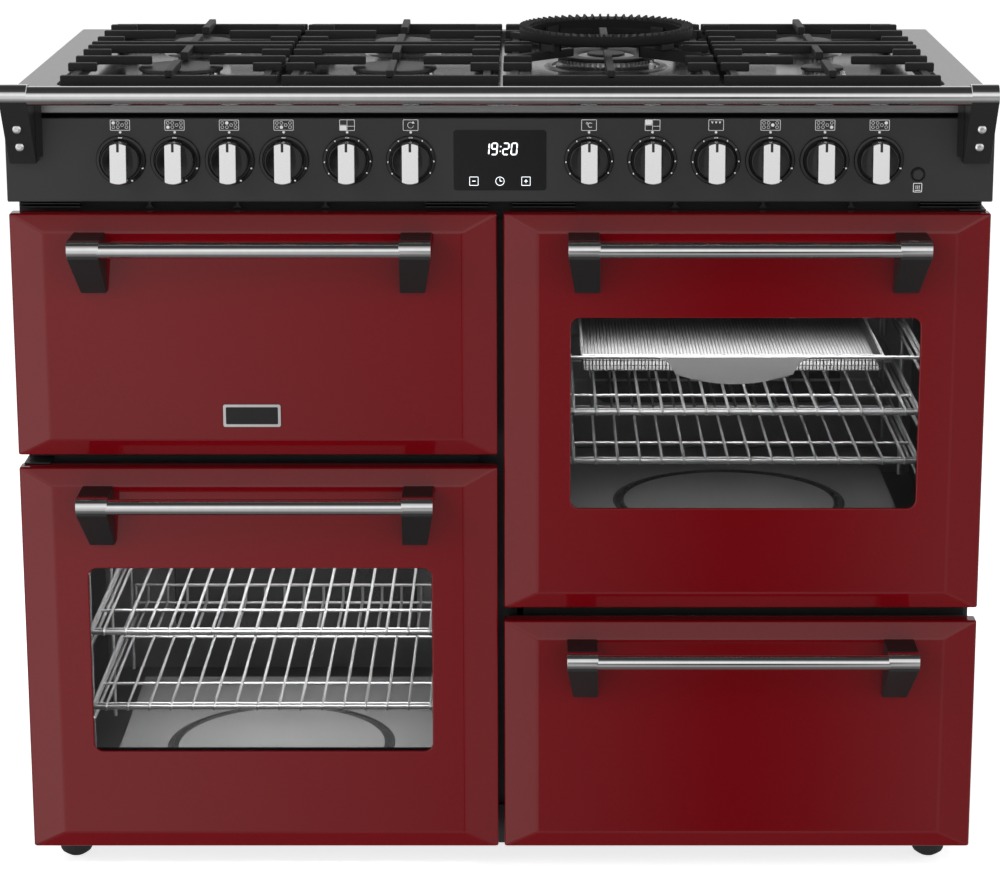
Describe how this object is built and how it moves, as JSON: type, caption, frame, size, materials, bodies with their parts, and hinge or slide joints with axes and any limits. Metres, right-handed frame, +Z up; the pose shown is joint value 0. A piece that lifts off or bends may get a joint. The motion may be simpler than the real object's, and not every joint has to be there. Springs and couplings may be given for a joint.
{
  "type": "freestanding gas range",
  "caption": "Wide freestanding range with gas hob, wok burner, drop-down top oven, side-hinged left oven, tall side-hinged oven and storage drawer.",
  "frame": {"origin": "on the floor, under the centre of the whole range's plan outline, towel rail included", "axes": "+X to the right seen from the front, +Y from the front to the wall, +Z up"},
  "size_m": [1.1, 0.6726, 0.963],
  "materials": {
    "red_enamel": "gloss vitreous enamel",
    "side_enamel": "satin dark grey enamel",
    "galvanised_back": "galvanised sheet",
    "hob_steel": "brushed stainless steel",
    "panel_black": "satin black-grey lacquer",
    "rail_chrome": "polished",
    "handle_chrome": "polished, with black painted legs",
    "knob_chrome": "polished grip on a black dial",
    "black_trim": "satin black",
    "oven_enamel": "speckled dark oven enamel",
    "foot_black": "moulded",
    "burner_metal": "matt enamelled cap on a bright aluminium crown",
    "shelf_wire": "plated wire",
    "tray_steel": "perforated stainless steel",
    "door_glass": "lightly tinted toughened glass",
    "drawer_grey": "satin grey sheet",
    "cast_iron": "matt black enamelled cast iron"
  },
  "bodies": {
    "body": {"side_panel_left": "side_enamel", "side_panel_right": "side_enamel", "back_panel": "galvanised_back", "chassis": "side_enamel", "hob_plate": "hob_steel", "control_panel": "panel_black", "towel_rail": "rail_chrome", "rail_bracket_left": "black_trim", "rail_bracket_right": "black_trim", "grill_cavity": "oven_enamel", "left_oven_cavity": "oven_enamel", "right_oven_cavity": "oven_enamel", "left_oven_lower_shelf": "shelf_wire", "left_oven_upper_shelf": "shelf_wire", "right_oven_lower_shelf": "shelf_wire", "right_oven_upper_shelf": "shelf_wire", "air_fry_tray": "tray_steel", "burner_front_left": "burner_metal", "burner_back_left": "burner_metal", "burner_front_centre": "burner_metal", "burner_back_centre": "burner_metal", "burner_wok": "burner_metal", "burner_front_right": "burner_metal", "burner_back_right": "burner_metal", "foot_front_left": "foot_black", "foot_front_right": "foot_black", "foot_back_left": "foot_black", "foot_back_right": "foot_black"},
    "grill_door": {"grill_door_panel": "red_enamel", "grill_door_inner": "oven_enamel", "grill_door_handle": "handle_chrome"},
    "left_oven_door": {"left_oven_door_panel": "red_enamel", "left_oven_door_inner": "oven_enamel", "left_oven_door_glass": "door_glass", "left_oven_door_handle": "handle_chrome"},
    "right_oven_door": {"right_oven_door_panel": "red_enamel", "right_oven_door_inner": "oven_enamel", "right_oven_door_glass": "door_glass", "right_oven_door_handle": "handle_chrome"},
    "drawer": {"drawer_front": "red_enamel", "drawer_box": "drawer_grey", "drawer_handle": "handle_chrome"},
    "knob_burner_back_left": {"knob_burner_back_left": "knob_chrome"},
    "knob_burner_front_left": {"knob_burner_front_left": "knob_chrome"},
    "knob_burner_back_centre": {"knob_burner_back_centre": "knob_chrome"},
    "knob_burner_front_centre": {"knob_burner_front_centre": "knob_chrome"},
    "knob_left_oven": {"knob_left_oven": "knob_chrome"},
    "knob_right_oven_mode": {"knob_right_oven_mode": "knob_chrome"},
    "knob_right_oven_heat": {"knob_right_oven_heat": "knob_chrome"},
    "knob_top_oven": {"knob_top_oven": "knob_chrome"},
    "knob_grill": {"knob_grill": "knob_chrome"},
    "knob_burner_wok": {"knob_burner_wok": "knob_chrome"},
    "knob_burner_front_right": {"knob_burner_front_right": "knob_chrome"},
    "knob_burner_back_right": {"knob_burner_back_right": "knob_chrome"},
    "panel_button": {"panel_button": "black_trim"},
    "pan_support_left": {"pan_support_left": "cast_iron"},
    "pan_support_centre_left": {"pan_support_centre_left": "cast_iron"},
    "pan_support_wok": {"pan_support_wok": "cast_iron"},
    "pan_support_right": {"pan_support_right": "cast_iron"},
    "wok_ring": {"wok_ring": "cast_iron"}
  },
  "joints": [
    {"name": "grill_door_hinge", "type": "hinge", "parent": "body", "child": "grill_door", "pos_m": [-0.27625, -0.24975, 0.5274], "axis": [1, 0, 0], "range_deg": [0, 90]},
    {"name": "left_oven_door_hinge", "type": "hinge", "parent": "body", "child": "left_oven_door", "pos_m": [-0.539, -0.24375, 0.266], "axis": [0, 0, -1], "range_deg": [0, 110]},
    {"name": "right_oven_door_hinge", "type": "hinge", "parent": "body", "child": "right_oven_door", "pos_m": [0.539, -0.24375, 0.56], "axis": [0, 0, 1], "range_deg": [0, 110]},
    {"name": "drawer_slide", "type": "slide", "parent": "body", "child": "drawer", "axis": [0, -1, 0], "range_m": [0, 0.4]},
    {"name": "knob_burner_back_left_turn", "type": "hinge", "parent": "body", "child": "knob_burner_back_left", "pos_m": [-0.4215, -0.26975, 0.851], "axis": [0, -1, 0], "range_deg": [0, 270]},
    {"name": "knob_burner_front_left_turn", "type": "hinge", "parent": "body", "child": "knob_burner_front_left", "pos_m": [-0.361, -0.26975, 0.851], "axis": [0, -1, 0], "range_deg": [0, 270]},
    {"name": "knob_burner_back_centre_turn", "type": "hinge", "parent": "body", "child": "knob_burner_back_centre", "pos_m": [-0.3005, -0.26975, 0.851], "axis": [0, -1, 0], "range_deg": [0, 270]},
    {"name": "knob_burner_front_centre_turn", "type": "hinge", "parent": "body", "child": "knob_burner_front_centre", "pos_m": [-0.24, -0.26975, 0.851], "axis": [0, -1, 0], "range_deg": [0, 270]},
    {"name": "knob_left_oven_turn", "type": "hinge", "parent": "body", "child": "knob_left_oven", "pos_m": [-0.1695, -0.26975, 0.851], "axis": [0, 1, 0], "range_deg": [0, 290]},
    {"name": "knob_right_oven_mode_turn", "type": "hinge", "parent": "body", "child": "knob_right_oven_mode", "pos_m": [-0.099, -0.26975, 0.851], "axis": [0, 1, 0], "range_deg": [0, 315]},
    {"name": "knob_right_oven_heat_turn", "type": "hinge", "parent": "body", "child": "knob_right_oven_heat", "pos_m": [0.099, -0.26975, 0.851], "axis": [0, 1, 0], "range_deg": [0, 290]},
    {"name": "knob_top_oven_turn", "type": "hinge", "parent": "body", "child": "knob_top_oven", "pos_m": [0.1695, -0.26975, 0.851], "axis": [0, 1, 0], "range_deg": [0, 315]},
    {"name": "knob_grill_turn", "type": "hinge", "parent": "body", "child": "knob_grill", "pos_m": [0.24, -0.26975, 0.851], "axis": [0, 1, 0], "range_deg": [0, 290]},
    {"name": "knob_burner_wok_turn", "type": "hinge", "parent": "body", "child": "knob_burner_wok", "pos_m": [0.3005, -0.26975, 0.851], "axis": [0, -1, 0], "range_deg": [0, 270]},
    {"name": "knob_burner_front_right_turn", "type": "hinge", "parent": "body", "child": "knob_burner_front_right", "pos_m": [0.361, -0.26975, 0.851], "axis": [0, -1, 0], "range_deg": [0, 270]},
    {"name": "knob_burner_back_right_turn", "type": "hinge", "parent": "body", "child": "knob_burner_back_right", "pos_m": [0.4215, -0.26975, 0.851], "axis": [0, -1, 0], "range_deg": [0, 270]},
    {"name": "panel_button_press", "type": "slide", "parent": "body", "child": "panel_button", "axis": [0, 1, 0], "range_m": [0, 0.0015], "stiffness_N_per_m": 600, "springref_m": -0.0005},
    {"name": "pan_support_left_lift", "type": "slide", "parent": "body", "child": "pan_support_left", "axis": [0, 0, 1], "range_m": [0, 0.15]},
    {"name": "pan_support_centre_left_lift", "type": "slide", "parent": "body", "child": "pan_support_centre_left", "axis": [0, 0, 1], "range_m": [0, 0.15]},
    {"name": "pan_support_wok_lift", "type": "slide", "parent": "body", "child": "pan_support_wok", "axis": [0, 0, 1], "range_m": [0, 0.15]},
    {"name": "pan_support_right_lift", "type": "slide", "parent": "body", "child": "pan_support_right", "axis": [0, 0, 1], "range_m": [0, 0.15]},
    {"name": "wok_ring_lift", "type": "slide", "parent": "pan_support_wok", "child": "wok_ring", "axis": [0, 0, 1], "range_m": [0, 0.15]}
  ]
}
